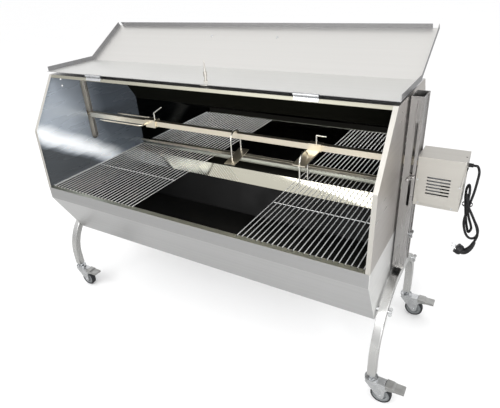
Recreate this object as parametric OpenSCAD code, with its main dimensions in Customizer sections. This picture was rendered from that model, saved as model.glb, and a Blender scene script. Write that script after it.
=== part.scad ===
// Rotisserie spit roaster: a charcoal firebox under a folded hood, with a motor driven spit,
// a lid that folds back onto the hood, height slides outside both ends and four castors.
// X runs along the spit towards the motor, -Y is the open front, +Z is up.
// The origin is on the floor under the middle of the cabinet. All sizes are millimetres.

/* [Cabinet] */
// Length of the cabinet along the spit
body_length = 1500; // [1400:10:1500]
// Depth of the firebox, front to back
body_depth = 638; // [630:2:638]
// Height of the firebox floor
floor_z = 320; // [316:1:322]
// Height of the firebox rim, where the grills lie
rim_z = 590; // [588:1:592]
// Height of the hood's top
hood_z = 1069; // [1066:1:1070]
// Thickness of the folded steel sheet
sheet = 2; // [1.5:0.1:2]

/* [Spit] */
// Side of the square spit bar
spit_bar_side = 22; // [20:1:22]
// Height of the spit
spit_z = 846; // [840:1:850]
// Length of the spit's free end beyond the cabinet
spit_free_end = 256; // [200:1:256]

/* [Grills] */
// Distance between grill bars
grill_pitch = 20; // [18:1:30]
// Diameter of a grill bar
grill_bar_d = 3.5; // [3.5:0.5:5]

/* [Castors] */
// Diameter of a castor wheel
wheel_d = 75; // [70:1:76]
// Distance the wheel trails behind its swivel
castor_trail = 40; // [38:1:42]

/* [Hidden] */
$fn = 48;

steel = "Silver";
dark_steel = "DimGray";
black = "#202020";

// Cabinet outline in the YZ plane
half_x = body_length / 2;
half_y = body_depth / 2;
fire_bend = [half_y, 537];
floor_edge = [205, floor_z];
hood_front = [-165, hood_z];
hood_rear = [181, hood_z];
front_bend = [-308, 857];
rear_bend = [half_y, 851];
rim_flange = 24;
ledge_w = 20;
post_w = 15;
top_bar_depth = 25;
top_bar_drop = 13;

// Spit slots, columns and slides
slot_w = 38;
slot_low_z = 721;
slot_high_z = 1014;
column_x = half_x + 5;
column_d = 40;
column_w = 78;
column_top = 1066;
column_bottom = 378;
flange_bottom = 442;
clamp_x = half_x + 31;
clamp_z = 803;
clamp_slot = [698, 986];
slide_x = half_x + 38;
slide_t = 3;
slide_w = 72;
slide_low_z = 440;
slide_high_z = 1060;
lock_z = 570;
lock_slot = [495, 708];

// Legs and castors
leg_x = half_x + 7;
leg_w = 30;
leg_wall = 2;
leg_r = 240;
leg_centre = [34, 180];
leg_foot_z = 118;
leg_bolt_angle = 49.6;
stem_x = leg_x + leg_w / 2;
stem_y = leg_centre[0] + leg_r - leg_w / 2;
stem_r = 6;
wheel_w = 24;
axle_r = 4;
pedal_pivot = [62, 86];
fit = 0.05;

// Lid, drawn folded back on the hood
lid_axis = [-168, hood_z + 8.7];
lid_half = half_x + 4;
lid_gap = 14;
lid_flange = 18;
lid_z = hood_z + lid_gap;
lid_crease = [94, lid_z];
lid_second = 246;
lid_bend = 31.6;
lid_lip_half = half_x - 18;
hinge_at = 470;
hinge_length = 85;
knuckle_r = 4.5;
hinge_pin_r = 2.5;
handle_half = 158;
handle_from_crease = 182;
probe_at = [65, -126];

// Motor housing
housing_x = [half_x + 48, half_x + 187];
housing_y = [-41, 61];
housing_z = [711, 880];
housing_wall = 1.5;
gland_at = [54, 836];
switch_at = [-14, 842];
cable_r = 4;
reach = half_x + spit_free_end;

// ---- outlines ----------------------------------------------------------------------------

function unit(v) = v / norm(v);
function left_of(v) = [-v[1], v[0]];

// The point of a folded path moved t to its left, with a mitre at the folds
function mitre(path, i, t) =
    let (last = len(path) - 1,
         a = i > 0 ? unit(path[i] - path[i - 1]) : unit(path[1] - path[0]),
         b = i < last ? unit(path[i + 1] - path[i]) : a)
    path[i] + t * (left_of(a) + left_of(b)) / (1 + a * b);

// Points of a fillet of radius r at corner b, between a and c
function fillet(a, b, c, r, steps = 10) =
    let (u = unit(a - b),
         v = unit(c - b),
         half = acos(u * v) / 2,
         centre = b + unit(u + v) * r / sin(half),
         from = b + u * r / tan(half) - centre,
         to = b + v * r / tan(half) - centre,
         a0 = atan2(from[1], from[0]),
         turn = atan2(to[1], to[0]) - a0,
         sweep = turn > 180 ? turn - 360 : turn < -180 ? turn + 360 : turn)
    [for (i = [0:steps]) centre + r * [cos(a0 + sweep * i / steps), sin(a0 + sweep * i / steps)]];

// Cross-section of a sheet folded along a path, with its thickness on the left
module folded(path, t) {
    back = [for (i = [len(path) - 1:-1:0]) mitre(path, i, t)];
    polygon(concat(path, back));
}

// Extrudes a YZ outline from x0 to x1
module along_x(x0, x1) {
    translate([x0, 0, 0])
        rotate([90, 0, 90])
            linear_extrude(x1 - x0) children();
}

module cylinder_x(r, x0, x1) {
    translate([x0, 0, 0])
        rotate([0, 90, 0])
            cylinder(r = r, h = x1 - x0);
}

module cylinder_y(r, y0, y1) {
    translate([0, y1, 0])
        rotate([90, 0, 0])
            cylinder(r = r, h = y1 - y0);
}

// Block from one corner to the other
module block(low, high) {
    translate(low) cube(high - low);
}

// Stadium outline in the YZ plane, upright, between two heights
module upright_slot(width, low_z, high_z) {
    r = width / 2;
    translate([-r, low_z + r]) square([width, high_z - low_z - width]);
    translate([0, low_z + r]) circle(r);
    translate([0, high_z - r]) circle(r);
}

// Repeats a part that is drawn for the motor end at the other end
module at_end(side) {
    if (side > 0) children();
    else mirror([1, 0, 0]) children();
}

// ---- firebox -----------------------------------------------------------------------------

function firebox_outline() =
    [[-half_y, rim_z], [-fire_bend[0], fire_bend[1]], [-floor_edge[0], floor_edge[1]],
     floor_edge, fire_bend, [half_y, rim_z]];

module firebox_shell() {
    path = concat([[rim_flange - half_y, rim_z]], firebox_outline(), [[half_y - rim_flange, rim_z]]);
    color(steel)
        along_x(sheet - half_x, half_x - sheet) folded(path, sheet);
}

// Places of the bolts that join a column and its legs to the firebox end
panel_bolt_at = [0, 1045];
column_bolt_at = [[0, 480], [-20, 405], [20, 405]];
leg_bolt_at = leg_centre + (leg_r - leg_w / 2) * [cos(leg_bolt_angle), sin(leg_bolt_angle)];
bolt_r = 4;
hole_r = 4.2;

module firebox_end(side) {
    ledge = half_y - rim_flange;
    color(steel) at_end(side) {
        along_x(half_x - sheet, half_x) difference() {
            polygon(firebox_outline());
            for (at = column_bolt_at) translate(at) circle(hole_r);
            for (y = [-1, 1]) translate([y * leg_bolt_at[0], leg_bolt_at[1]]) circle(hole_r);
        }
        block([half_x - ledge_w, -ledge, rim_z - sheet], [half_x - sheet, ledge, rim_z]);
    }
}

module firebox_end_left() { firebox_end(-1); }
module firebox_end_right() { firebox_end(1); }

rest_top = 351.5;

// Hat rails that carry the charcoal tray clear of the floor
module tray_rests() {
    half_w = 20;
    floor_top = floor_z + sheet;
    color(dark_steel) for (x = [-500, 0, 500])
        translate([x, 0, 0]) difference() {
            block([-half_w, -190, floor_top], [half_w, 190, rest_top]);
            block([sheet - half_w, -191, floor_top - 1], [half_w - sheet, 191, rest_top - sheet]);
        }
}

// Open tray with sloping long sides
module charcoal_tray() {
    top_y = 281;
    floor_y = 203;
    tray_z = rest_top + 0.5;
    edge_z = 478;
    tray_x = half_x - 10;
    side = [[-top_y, edge_z], [-floor_y, tray_z], [floor_y, tray_z], [top_y, edge_z]];
    color(black) {
        along_x(-tray_x, tray_x) folded(side, sheet);
        for (x = [-tray_x, tray_x - sheet]) along_x(x, x + sheet) polygon(side);
    }
}

// Grill of round bars that run front to back on three cross wires
module grill(x0, x1) {
    r = grill_bar_d / 2;
    bar_z = rim_z + r + 0.5;
    bar_end = 303;
    cross_y = [-290, -22, 290];
    cross_z = bar_z - grill_bar_d + 1;
    count = floor((x1 - x0) / grill_pitch);
    pitch = (x1 - x0 - grill_bar_d) / count;
    color(steel) {
        for (i = [0:count])
            translate([x0 + r + i * pitch, 0, bar_z]) cylinder_y(r, -bar_end, bar_end);
        for (y = cross_y)
            translate([0, y, cross_z]) cylinder_x(r, x0 + r, x1 - r);
    }
}

// Both grills stop short of the ledges at the cabinet's ends and leave the middle open
module grill_left() { grill(ledge_w - half_x - 1.5, -245); }
module grill_right() { grill(262, half_x - ledge_w - 3); }

// ---- hood --------------------------------------------------------------------------------

rear_corner = fillet([half_y, rim_z], rear_bend, hood_rear, 60);
hood_split = hood_front[0] + top_bar_depth;

module hood_shell() {
    path = concat([[half_y, rim_z]], rear_corner, [hood_rear, [hood_split, hood_z]]);
    color(steel)
        along_x(sheet - half_x, half_x - sheet) folded(path, sheet);
}

// Two holes in each side panel, one above the other
panel_hole_y = -116;
panel_hole_z = [1009, 1038];
panel_hole_r = 4;

module hood_side(side) {
    outline = concat([[-half_y, rim_z], [half_y, rim_z]], rear_corner,
                     [hood_rear, hood_front, front_bend]);
    post = [[hood_split, hood_z], hood_front, front_bend, [-half_y, rim_z + 0.2]];
    color(steel) at_end(side) {
        along_x(half_x - sheet, half_x) difference() {
            polygon(outline);
            upright_slot(slot_w, slot_low_z, slot_high_z);
            translate(panel_bolt_at) circle(hole_r);
            for (z = panel_hole_z) translate([panel_hole_y, z]) circle(panel_hole_r);
        }
        along_x(half_x - post_w, half_x - sheet) folded(post, sheet);
    }
}

module hood_side_left() { hood_side(-1); }
module hood_side_right() { hood_side(1); }

// Angle strip along the hood's top front edge, which carries the lid's hinges
module top_bar() {
    down = unit(front_bend - hood_front);
    path = [[hood_split, hood_z], hood_front, hood_front + top_bar_drop * down];
    color(steel)
        along_x(post_w - half_x, half_x - post_w) folded(path, sheet);
}

// Small angle along the foot of the hood's rear wall
module rear_rail() {
    low_z = 605;
    rail = 12;
    face = half_y - sheet;
    path = [[face, low_z], [face - rail, low_z], [face - rail, low_z + rail]];
    color(steel)
        along_x(sheet - half_x, half_x - sheet) folded(path, -sheet);
}

// ---- columns and their bolts -------------------------------------------------------------

module column(side) {
    half_w = column_w / 2;
    outer_x = column_x + column_d;
    color(steel) at_end(side) difference() {
        union() {
            block([column_x, -half_w, column_bottom], [column_x + sheet, half_w, column_top]);
            for (y = [-half_w, half_w - sheet])
                block([column_x, y, flange_bottom], [outer_x, y + sheet, column_top]);
        }
        along_x(column_x - 1, column_x + sheet + 1) {
            upright_slot(slot_w, slot_low_z, slot_high_z);
            for (at = concat(column_bolt_at, [panel_bolt_at, [0, lock_z]])) translate(at) circle(hole_r);
        }
        translate([clamp_x, 0, 0])
            rotate([0, 0, 90])
                along_x(-half_w - 1, sheet - half_w + 1) upright_slot(8, clamp_slot[0], clamp_slot[1]);
    }
}

module column_left() { column(-1); }
module column_right() { column(1); }

// Hexagon nut or head, from x0 along X
module hexagon(x0, thick, across = 13) {
    translate([x0, 0, 0])
        rotate([0, 90, 0])
            cylinder(r = across / 2 / cos(30), h = thick, $fn = 6);
}

// Round spacer between a panel and its column, with its bolt through it
module column_bolt(nut_x) {
    difference() {
        cylinder_x(9, half_x, column_x);
        cylinder_x(hole_r, half_x - 1, column_x + 1);
    }
    cylinder_x(bolt_r, half_x - sheet - 1, nut_x + 1);
    hexagon(half_x - sheet - 4, 4);
    hexagon(nut_x, 6);
}

module column_bolts() {
    color(steel) for (side = [-1, 1]) at_end(side) {
        for (z = [panel_bolt_at[1], column_bolt_at[0][1]])
            translate([0, 0, z]) column_bolt(column_x + sheet);
        for (i = [1, 2])
            translate([0, column_bolt_at[i][0], column_bolt_at[i][1]])
                column_bolt(leg_x + leg_wall);
    }
}

// Wing nut that grips towards -X, with its seat at x = 0
module wing_nut() {
    cylinder_x(6, 0, 8);
    for (turn = [0, 180])
        rotate([turn + 35, 0, 0])
            translate([9, 10, -1.5])
                cylinder(r = 6.5, h = 3);
}

// Fixed bolt through the slide's lower slot; its wing nut locks the height
module slide_lock_bolts() {
    nut_x = slide_x + slide_t + 0.3;
    color(steel) for (side = [-1, 1]) at_end(side)
        translate([0, 0, lock_z]) {
            cylinder_x(bolt_r, column_x - 1, nut_x + 14);
            hexagon(column_x - 4, 4);
            hexagon(column_x + sheet, 6);
            translate([nut_x, 0, 0]) wing_nut();
        }
}

// ---- legs --------------------------------------------------------------------------------

// Bent leg outline grown by a margin: solid tube when 0, its bore when negative
module leg_solid(margin) {
    w = leg_w + 2 * margin;
    r = leg_r - leg_w - margin;
    x = leg_x - margin;
    translate([x, leg_centre[0], leg_centre[1]])
        rotate([90, 0, 90])
            rotate_extrude(angle = 90, $fn = 96)
                translate([r, 0]) square([w, w]);
    top_z = leg_centre[1] + r;
    block([x, 0.5 + margin, top_z], [x + w, leg_centre[0] + 0.01, top_z + w]);
    foot_y = leg_centre[0] + r;
    block([x, foot_y, leg_foot_z], [x + w, foot_y + w, leg_centre[1] + 0.01]);
}

module leg(side, rear) {
    plug_z = leg_foot_z + 28;
    inside = leg_w / 2 - leg_wall;
    color(steel) at_end(side) mirror([0, rear > 0 ? 0 : 1, 0]) difference() {
        union() {
            difference() {
                leg_solid(0);
                leg_solid(-leg_wall);
            }
            block([stem_x - inside - 1, stem_y - inside - 1, leg_foot_z],
                  [stem_x + inside + 1, stem_y + inside + 1, plug_z]);
        }
        translate([stem_x, stem_y, 0]) cylinder(r = stem_r + fit, h = plug_z + 1);
        translate([0, leg_bolt_at[0], leg_bolt_at[1]])
            cylinder_x(hole_r, leg_x - 1, leg_x + leg_w + 1);
        translate([0, column_bolt_at[2][0], column_bolt_at[2][1]])
            cylinder_x(hole_r, leg_x - 1, leg_x + leg_wall + 1);
    }
}

module leg_front_left() { leg(-1, -1); }
module leg_front_right() { leg(1, -1); }
module leg_rear_left() { leg(-1, 1); }
module leg_rear_right() { leg(1, 1); }

// Wing bolts that pull each leg against the firebox end, over a spacer
module leg_wing_bolts() {
    outer = leg_x + leg_w;
    color(steel) for (side = [-1, 1]) at_end(side) for (y = [-1, 1])
        translate([0, y * leg_bolt_at[0], leg_bolt_at[1]]) {
            difference() {
                cylinder_x(9, half_x, leg_x);
                cylinder_x(hole_r, half_x - 1, leg_x + 1);
            }
            cylinder_x(bolt_r, half_x - sheet - 5, outer + 14);
            hexagon(half_x - sheet - 5, 5);
            translate([outer, 0, 0]) wing_nut();
        }
}

// ---- lid ---------------------------------------------------------------------------------

lid_start = [lid_axis[0] + 1, lid_z];
lid_end = lid_crease + lid_second * [cos(lid_bend), sin(lid_bend)];

module lid_shell() {
    up = lid_flange * [-sin(lid_bend), cos(lid_bend)];
    path = [lid_start, lid_crease, lid_end];
    color(steel) difference() {
        union() {
            along_x(-lid_half, lid_half) folded(path, -sheet);
            along_x(-lid_lip_half, lid_lip_half)
                folded([lid_end - unit(up) * sheet / 2, lid_end + up], sheet);
            for (x = [-lid_half, lid_half - sheet])
                along_x(x, x + sheet)
                    folded([lid_start + [6, 0], lid_crease, lid_end], lid_flange);
        }
        for (x = [-hinge_at, hinge_at])
            block([x - hinge_length / 2 - 1, lid_start[0] - 1, lid_z - sheet - 1],
                  [x + hinge_length / 2 + 1, lid_axis[0] + knuckle_r + 0.5, lid_z + 1]);
        translate([probe_at[0], probe_at[1], lid_z - sheet - 1]) cylinder(r = 3.2, h = sheet + 2);
        on_second_panel() for (x = [-handle_half, handle_half])
            translate([x, handle_from_crease, -sheet - 1]) cylinder(r = 2.7, h = sheet + 2);
    }
}

// Frame of the lid's second panel: y runs from the crease, z is 0 on the inner face
module on_second_panel() {
    translate([0, lid_crease[0], lid_crease[1]])
        rotate([lid_bend, 0, 0]) children();
}

module lid_handle() {
    stand = 42;
    post_r = 5;
    bore_r = 2.5;
    color(black) on_second_panel() difference() {
        union() {
            for (x = [-handle_half, handle_half])
                translate([x, handle_from_crease, -sheet - stand]) cylinder(r = post_r, h = stand);
            translate([0, handle_from_crease, -sheet - stand])
                cylinder_x(8, -handle_half - 12, handle_half + 12);
        }
        for (x = [-handle_half, handle_half])
            translate([x, handle_from_crease, -sheet - 12]) cylinder(r = bore_r, h = 13);
    }
}

module lid_handle_screws() {
    color(steel) on_second_panel() for (x = [-handle_half, handle_half])
        translate([x, handle_from_crease, 0]) {
            cylinder(r = 5, h = 2.2);
            translate([0, 0, -sheet - 10]) cylinder(r = 2.45, h = sheet + 11);
        }
}

// One knuckle of a hinge, centred at x on the lid's axis
module knuckle(x, length, bore_r) {
    translate([0, lid_axis[0], lid_axis[1]]) difference() {
        cylinder_x(knuckle_r, x - length / 2, x + length / 2);
        cylinder_x(bore_r, x - length, x + length);
    }
}

knuckle_length = hinge_length / 3;

// Leaves screwed to the top bar; each holds the two outer knuckles
module lid_hinge_leaves() {
    down = unit(front_bend - hood_front);
    out = left_of(-down);
    leaf = 1.5;
    over = 5.5;
    seat_gap = 0.03;
    seat = hood_front + seat_gap * out;
    path = [seat + (top_bar_drop - 2) * down, seat - over * down, seat - over * down + 3.6 * out];
    color(steel) difference() {
        union() for (x = [-hinge_at, hinge_at]) {
            along_x(x - hinge_length / 2, x + hinge_length / 2) folded(path, leaf);
            for (i = [-1, 1]) knuckle(x + i * knuckle_length, knuckle_length, hinge_pin_r);
        }
        for (x = [-hinge_at, hinge_at])
            translate([0, lid_axis[0], lid_axis[1]]) {
                cylinder_x(hinge_pin_r, x - hinge_length, x + hinge_length);
                cylinder_x(knuckle_r + 0.4, x - knuckle_length / 2, x + knuckle_length / 2);
            }
    }
}

module lid_hinge_pins() {
    color(steel) for (x = [-hinge_at, hinge_at])
        translate([0, lid_axis[0], lid_axis[1]])
            cylinder_x(hinge_pin_r, x - hinge_length / 2 - 1, x + hinge_length / 2 + 1);
}

// Leaves under the lid's first panel; each holds the middle knuckle
module lid_hinge_flaps() {
    flap_z = lid_z - sheet;
    thick = 1.5;
    reach_y = 38;
    middle = knuckle_length - 1;
    color(steel) for (x = [-hinge_at, hinge_at]) difference() {
        union() {
            knuckle(x, middle, hinge_pin_r + fit);
            block([x - middle / 2, lid_axis[0], flap_z - thick],
                  [x + middle / 2, lid_axis[0] + reach_y, flap_z]);
            block([x - hinge_length / 2, lid_axis[0] + knuckle_r + 1, flap_z - thick],
                  [x + hinge_length / 2, lid_axis[0] + reach_y, flap_z]);
        }
        translate([0, lid_axis[0], lid_axis[1]])
            cylinder_x(hinge_pin_r + fit, x - hinge_length, x + hinge_length);
    }
}

// Dial outside the lid, with its probe on the inner side
module thermometer() {
    dial_t = 8;
    nut_h = 5;
    stem_top = 34;
    collar = [20, 36];
    needle_tip = 76;
    color(steel) translate([probe_at[0], probe_at[1], lid_z - sheet]) {
        translate([0, 0, -dial_t]) cylinder(r = 25, h = dial_t);
        translate([0, 0, -1]) cylinder(r = 3, h = sheet + nut_h);
        translate([0, 0, sheet]) cylinder(r = 8, h = nut_h, $fn = 6);
        translate([0, 0, sheet + nut_h - 1]) cylinder(r = 4.5, h = stem_top - sheet - nut_h + 1);
        translate([0, 0, collar[0]]) cylinder(r = 7, h = collar[1] - collar[0]);
        translate([0, 0, collar[1] - 1]) cylinder(r1 = 3.5, r2 = 1.2, h = needle_tip - collar[1] + 1);
    }
}

// ---- slides ------------------------------------------------------------------------------

// Slide plate in a column, with its clamp bolt and wing nut on the column's front flange
module slide(side, hole) {
    half_w = slide_w / 2;
    seat_y = -column_w / 2 - 0.3;
    color(steel) at_end(side) {
        difference() {
            block([slide_x, -half_w, slide_low_z], [slide_x + slide_t, half_w, slide_high_z]);
            along_x(slide_x - 1, slide_x + slide_t + 1) {
                upright_slot(9, lock_slot[0], lock_slot[1]);
                translate([0, spit_z]) circle(hole);
            }
        }
        block([clamp_x - 7, -half_w, clamp_z - 10], [slide_x, -22, clamp_z + 10]);
        translate([clamp_x, 0, clamp_z]) {
            cylinder_y(3.5, seat_y - 12, -half_w);
            translate([0, seat_y, 0]) rotate([0, 0, -90]) wing_nut();
        }
    }
}

module motor_slide() {
    slide(1, 20);
    color(steel) for (z = [722, 868])
        block([slide_x + slide_t, -30, z - 6], [housing_x[0], 30, z + 6]);
}

module bearing_slide() { slide(-1, 15); }

// Flanged bush that the spit's journal turns in
journal_r = 8;
module spit_bearing() {
    color("Goldenrod") at_end(-1) translate([0, 0, spit_z]) difference() {
        union() {
            cylinder_x(15, slide_x - 8, slide_x + slide_t + 8);
            cylinder_x(22, slide_x + slide_t, slide_x + slide_t + 4);
        }
        cylinder_x(journal_r + fit, slide_x - 9, slide_x + slide_t + 9);
    }
}

// ---- motor -------------------------------------------------------------------------------

// Screws in the housing's front: distance along X and height
motor_screw_at = [[half_x + 54, 802], [half_x + 180, 795], [half_x + 63, 721], [half_x + 166, 718]];
vent_x = [half_x + 82, half_x + 152];
vent_low_z = 756;
vent_h = 5;
vent_pitch = 11;
vent_count = 6;
switch_hole = [9, 13];
switch_frame = 2;

module motor_housing() {
    low = [housing_x[0], housing_y[0], housing_z[0]];
    high = [housing_x[1], housing_y[1], housing_z[1]];
    wall = housing_wall * [1, 1, 1];
    color(steel) difference() {
        block(low, high);
        block(low + wall, high - wall);
        translate([0, 0, spit_z]) cylinder_x(19, low[0] - 1, low[0] + 3);
        for (i = [0:vent_count - 1], y = [low[1] - 1, high[1] - 3])
            translate([0, 0, vent_low_z + vent_pitch * i])
                block([vent_x[0], y, 0], [vent_x[1], y + 4, vent_h]);
        switch_window(high[0] - 3, high[0] + 1);
        translate([0, gland_at[0], gland_at[1]]) cylinder_x(5, high[0] - 3, high[0] + 1);
        translate([high[0] - 6, 7, high[2] - 3]) cylinder(r = 3, h = 4);
        for (at = motor_screw_at)
            translate([at[0], 0, at[1]]) cylinder_y(1.6, low[1] - 1, low[1] + 3);
    }
    // Frame around the switch
    color(black) difference() {
        switch_window(high[0], high[0] + 2, switch_frame);
        switch_window(high[0] - 1, high[0] + 3);
    }
}

// Block of the switch's outline, grown by a margin, from x0 to x1
module switch_window(x0, x1, margin = 0) {
    half_w = switch_hole[0] + margin;
    half_h = switch_hole[1] + margin;
    translate([0, switch_at[0], switch_at[1]])
        block([x0, -half_w, -half_h], [x1, half_w, half_h]);
}

module motor_screws() {
    color(steel) for (at = motor_screw_at) translate([at[0], 0, at[1]]) {
        cylinder_y(3.2, housing_y[0] - 1.6, housing_y[0]);
        cylinder_y(1.5, housing_y[0] - 1, housing_y[0] + 6);
    }
}

socket_end = half_x + 82;
shaft_r = 8;

// Gearbox with a hollow output, motor can and four stand-offs to the housing wall
module gear_motor() {
    box_x = [socket_end + 2, socket_end + 42];
    color(dark_steel) difference() {
        union() {
            block([box_x[0], -32, 752], [box_x[1], 38, 874]);
            translate([0, 10, 792]) cylinder_x(27, box_x[1] - 1, box_x[1] + 46);
            for (y = [-26, 32], z = [760, 866])
                translate([0, y, z]) cylinder_x(4, housing_x[0] + housing_wall, box_x[0] + 1);
        }
        translate([0, 0, spit_z]) cylinder_x(shaft_r + fit, box_x[0] - 1, box_x[1] + 1);
    }
}

module cable_gland() {
    face = housing_x[1];
    color(black) translate([0, gland_at[0], gland_at[1]]) difference() {
        union() {
            cylinder_x(4.9, face - 8, face + 1);
            cylinder_x(6.5, face, face + 14);
        }
        cylinder_x(cable_r + 0.3, face - 9, face + 15);
    }
}

// Rocker of the power switch, off at rest, with its two pivot stubs
module power_switch() {
    half_w = 8;
    color(black) translate([housing_x[1], switch_at[0], switch_at[1]]) {
        rotate([90, 0, 0])
            translate([0, 0, -half_w])
                linear_extrude(2 * half_w)
                    polygon([[-5, -8], [2, -11], [2.6, 0], [6, 11], [-5, 8]]);
        translate([-2.5, 0, 0]) cylinder_y(2, -half_w - 0.7, half_w + 0.7);
    }
}

// Way points of the cable, from the cabinet's end: out of the gland, down, one long loop,
// one short loop, then to the plug
cable_way = [[175, 54, 836], [202, 54, 836], [212, 54, 834], [219, 48, 818], [219, 42, 792],
             [216, 32, 750], [208, 22, 697], [204, 15, 657], [209, 11, 630], [219, 9, 608],
             [232, 9, 598], [245, 12, 602], [251, 16, 618], [246, 20, 638], [229, 28, 664],
             [208, 38, 697], [196, 45, 725], [192, 46, 748], [194, 44, 766], [199, 35, 776],
             [204, 22, 762], [205, 15, 730], [209, 12, 697], [217, 15, 668], [226, 20, 642],
             [229, 22, 626], [223, 23, 612], [216, 24, 628], [207, 26, 662], [199, 29, 705],
             [194, 30, 736], [194, 21, 750], [197, 8, 754], [201, 1, 742], [209, 0, 718],
             [230, -1, 680], [246, 0, 645], [251.6, 1, 618], [247, 3, 594]];

// Catmull-Rom point between way points i and i + 1
function on_way(p, i, t) =
    let (a = p[max(i - 1, 0)],
         b = p[i],
         c = p[i + 1],
         d = p[min(i + 2, len(p) - 1)])
    b + 0.5 * t * (c - a + t * (2 * a - 5 * b + 4 * c - d + t * (3 * (b - c) + d - a)));

// Closed tube of radius r along a list of points
module tube(points, r, sides = 8) {
    last = len(points) - 1;
    axis = [for (i = [0:last]) unit(points[min(i + 1, last)] - points[max(i - 1, 0)])];
    rings = [for (i = [0:last])
        let (u = unit(cross(axis[i], [0.05, 1, 0.02])),
             v = cross(axis[i], u))
        for (k = [0:sides - 1])
            points[i] + r * (cos(360 * k / sides) * u + sin(360 * k / sides) * v)];
    walls = [for (i = [0:last - 1], k = [0:sides - 1])
        [i * sides + k, i * sides + (k + 1) % sides,
         (i + 1) * sides + (k + 1) % sides, (i + 1) * sides + k]];
    first_cap = [[for (k = [sides - 1:-1:0]) k]];
    last_cap = [[for (k = [0:sides - 1]) last * sides + k]];
    polyhedron(rings, concat(walls, first_cap, last_cap));
}

module power_cable() {
    last = len(cable_way) - 1;
    steps = 4;
    points = [for (i = [0:last - 1], k = [0:steps - 1]) on_way(cable_way, i, k / steps)];
    color(black) translate([half_x, 0, 0]) tube(concat(points, [cable_way[last]]), cable_r);
}

// Two-pin mains plug with an angled grip, drawn about the middle of its tilted face
module power_plug() {
    tilt = [0, 30, 0];
    elbow = [28, 0, -9];
    grip_end = [47, -3, 29];
    translate([half_x + 197, 8, 552]) {
        color(black) {
            rotate(tilt) cylinder_x(18, 0, 16);
            hull() {
                rotate(tilt) cylinder_x(17, 15, 22, $fn = 32);
                translate(elbow) sphere(9, $fn = 32);
            }
            hull() {
                translate(elbow) sphere(9, $fn = 32);
                translate(grip_end) sphere(6.5, $fn = 32);
            }
        }
        color(steel) rotate(tilt) for (y = [-9.5, 9.5])
            translate([0, y, 0]) cylinder_x(2.4, -19, 1);
    }
}

// ---- spit and its fittings ---------------------------------------------------------------

module square_bar(side, x0, x1) {
    block([x0, -side / 2, -side / 2], [x1, side / 2, side / 2]);
}

spit_end = half_x + 76;
free_end_r = 7.5;
square_start = 12 - half_x;

// Square socket on the gearbox shaft
module drive_socket() {
    depth = 32;
    color(steel) translate([0, 0, spit_z]) {
        difference() {
            cylinder_x(17.5, socket_end - depth, socket_end);
            square_bar(spit_bar_side + 0.2, socket_end - depth - 1, spit_end + 0.5);
        }
        cylinder_x(shaft_r, socket_end - 1, socket_end + 38);
    }
}

// Square bar with a round journal, then a thinner free end with a taper
module spit_bar() {
    taper = 14;
    journal_end = -half_x - 66;
    color(steel) translate([0, 0, spit_z]) {
        square_bar(spit_bar_side, square_start, spit_end);
        cylinder_x(journal_r, journal_end, square_start + 1);
        cylinder_x(free_end_r, taper - reach, journal_end + 1);
        translate([-reach, 0, 0])
            rotate([0, 90, 0]) cylinder(r1 = 4, r2 = free_end_r, h = taper);
    }
}

slide_fit = 0.08;

// Square sleeve on the spit with a tapped hole in its top
module sleeve(x0, x1, outer, screw_x) {
    difference() {
        square_bar(outer, x0, x1);
        square_bar(spit_bar_side + 2 * slide_fit, x0 - 1, x1 + 1);
        translate([screw_x, 0, 0]) cylinder(r = 3.05, h = outer);
    }
}

// Bent-rod thumb screw: a stem in the sleeve, then an arm
module bent_screw(stem_top, arm, rise) {
    translate([0, 0, spit_bar_side / 2 + 0.3]) cylinder(r = 3, h = stem_top - spit_bar_side / 2 - 0.3);
    translate([0, 0, stem_top]) sphere(3);
    translate([0, 0, stem_top])
        rotate([0, 90 - atan2(rise, arm), 0]) {
            cylinder(r = 3, h = norm([arm, rise]));
            translate([0, 0, norm([arm, rise])]) sphere(3);
        }
}

fork_block = [-374, -318];
fork_screw_x = -330;
prong_tip = -622;
prong_y = 55;
prong_r = 4;

module meat_fork() {
    bend_r = 16;
    cross_x = fork_block[0] + 10;
    point = 30;
    color(steel) translate([0, 0, spit_z]) {
        sleeve(fork_block[0], fork_block[1], 34, fork_screw_x);
        for (side = [-1, 1]) mirror([0, side > 0 ? 0 : 1, 0]) {
            translate([cross_x, 0, 0]) cylinder_y(prong_r, 16, prong_y - bend_r);
            translate([cross_x - bend_r, prong_y - bend_r, 0])
                rotate_extrude(angle = 90) translate([bend_r, 0]) circle(prong_r);
            translate([0, prong_y, 0])
                cylinder_x(prong_r, prong_tip + point, cross_x - bend_r);
            translate([prong_tip, prong_y, 0])
                rotate([0, 90, 0]) cylinder(r1 = 0.8, r2 = prong_r, h = point);
        }
    }
}

module fork_thumbscrew() {
    color(steel) translate([fork_screw_x, 0, spit_z]) bent_screw(46, 47, 29);
}

// U-bolt with its round end up: legs along Z, with a nut on each leg
module u_bolt(centre_y, top_z, leg_r_mid, low_z, nut_z) {
    bend_z = top_z - u_rod_r - leg_r_mid;
    translate([0, centre_y, bend_z])
        rotate([90, 0, 90])
            rotate_extrude(angle = 180) translate([leg_r_mid, 0]) circle(u_rod_r);
    for (side = [-1, 1])
        translate([0, centre_y + side * leg_r_mid, 0]) {
            translate([0, 0, low_z]) cylinder(r = u_rod_r, h = bend_z - low_z + 0.01);
            translate([0, 0, nut_z[side > 0 ? 1 : 0]]) cylinder(r = 6.5, h = 5, $fn = 6);
        }
}

inner_x = 94;
inner_plate = [[-73, 746], [44, 770]];
inner_u_y = -8;
inner_u_r = 35;
inner_u_top = spit_z + 24;
u_rod_r = 3;

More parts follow.
